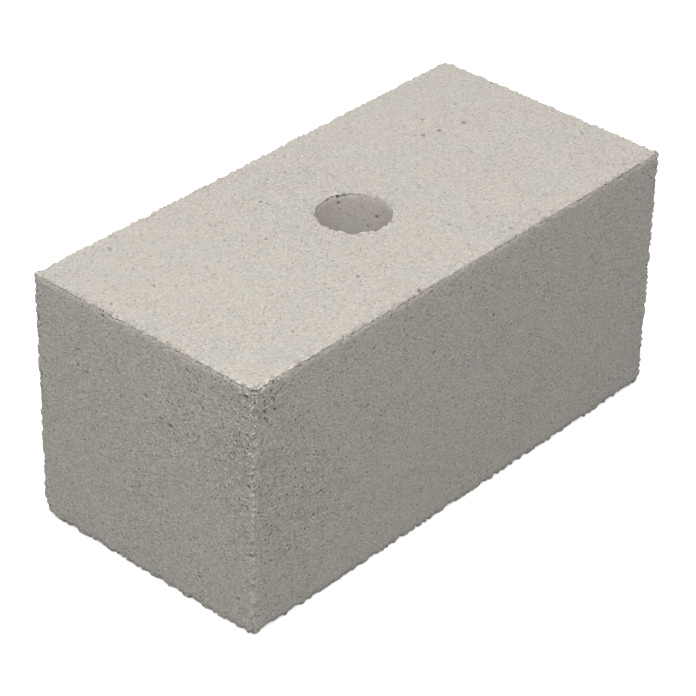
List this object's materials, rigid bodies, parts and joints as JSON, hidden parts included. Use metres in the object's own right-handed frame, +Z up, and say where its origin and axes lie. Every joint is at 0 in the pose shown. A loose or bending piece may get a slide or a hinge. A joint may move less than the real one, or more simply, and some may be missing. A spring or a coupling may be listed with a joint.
{
  "type": "calcium silicate brick",
  "caption": "Rectangular sand-lime masonry brick, laid in mortar to build walls, with a round handling hole through its bed faces.",
  "frame": {"origin": "middle of the lower bed face, on the surface that the brick lies on", "axes": "+X along the length, +Y along the width, +Z up, out of the upper bed face"},
  "size_m": [0.24, 0.115, 0.113],
  "materials": {
    "calcium_silicate": "matte"
  },
  "bodies": {
    "root": {"brick": "calcium_silicate"}
  },
  "joints": []
}
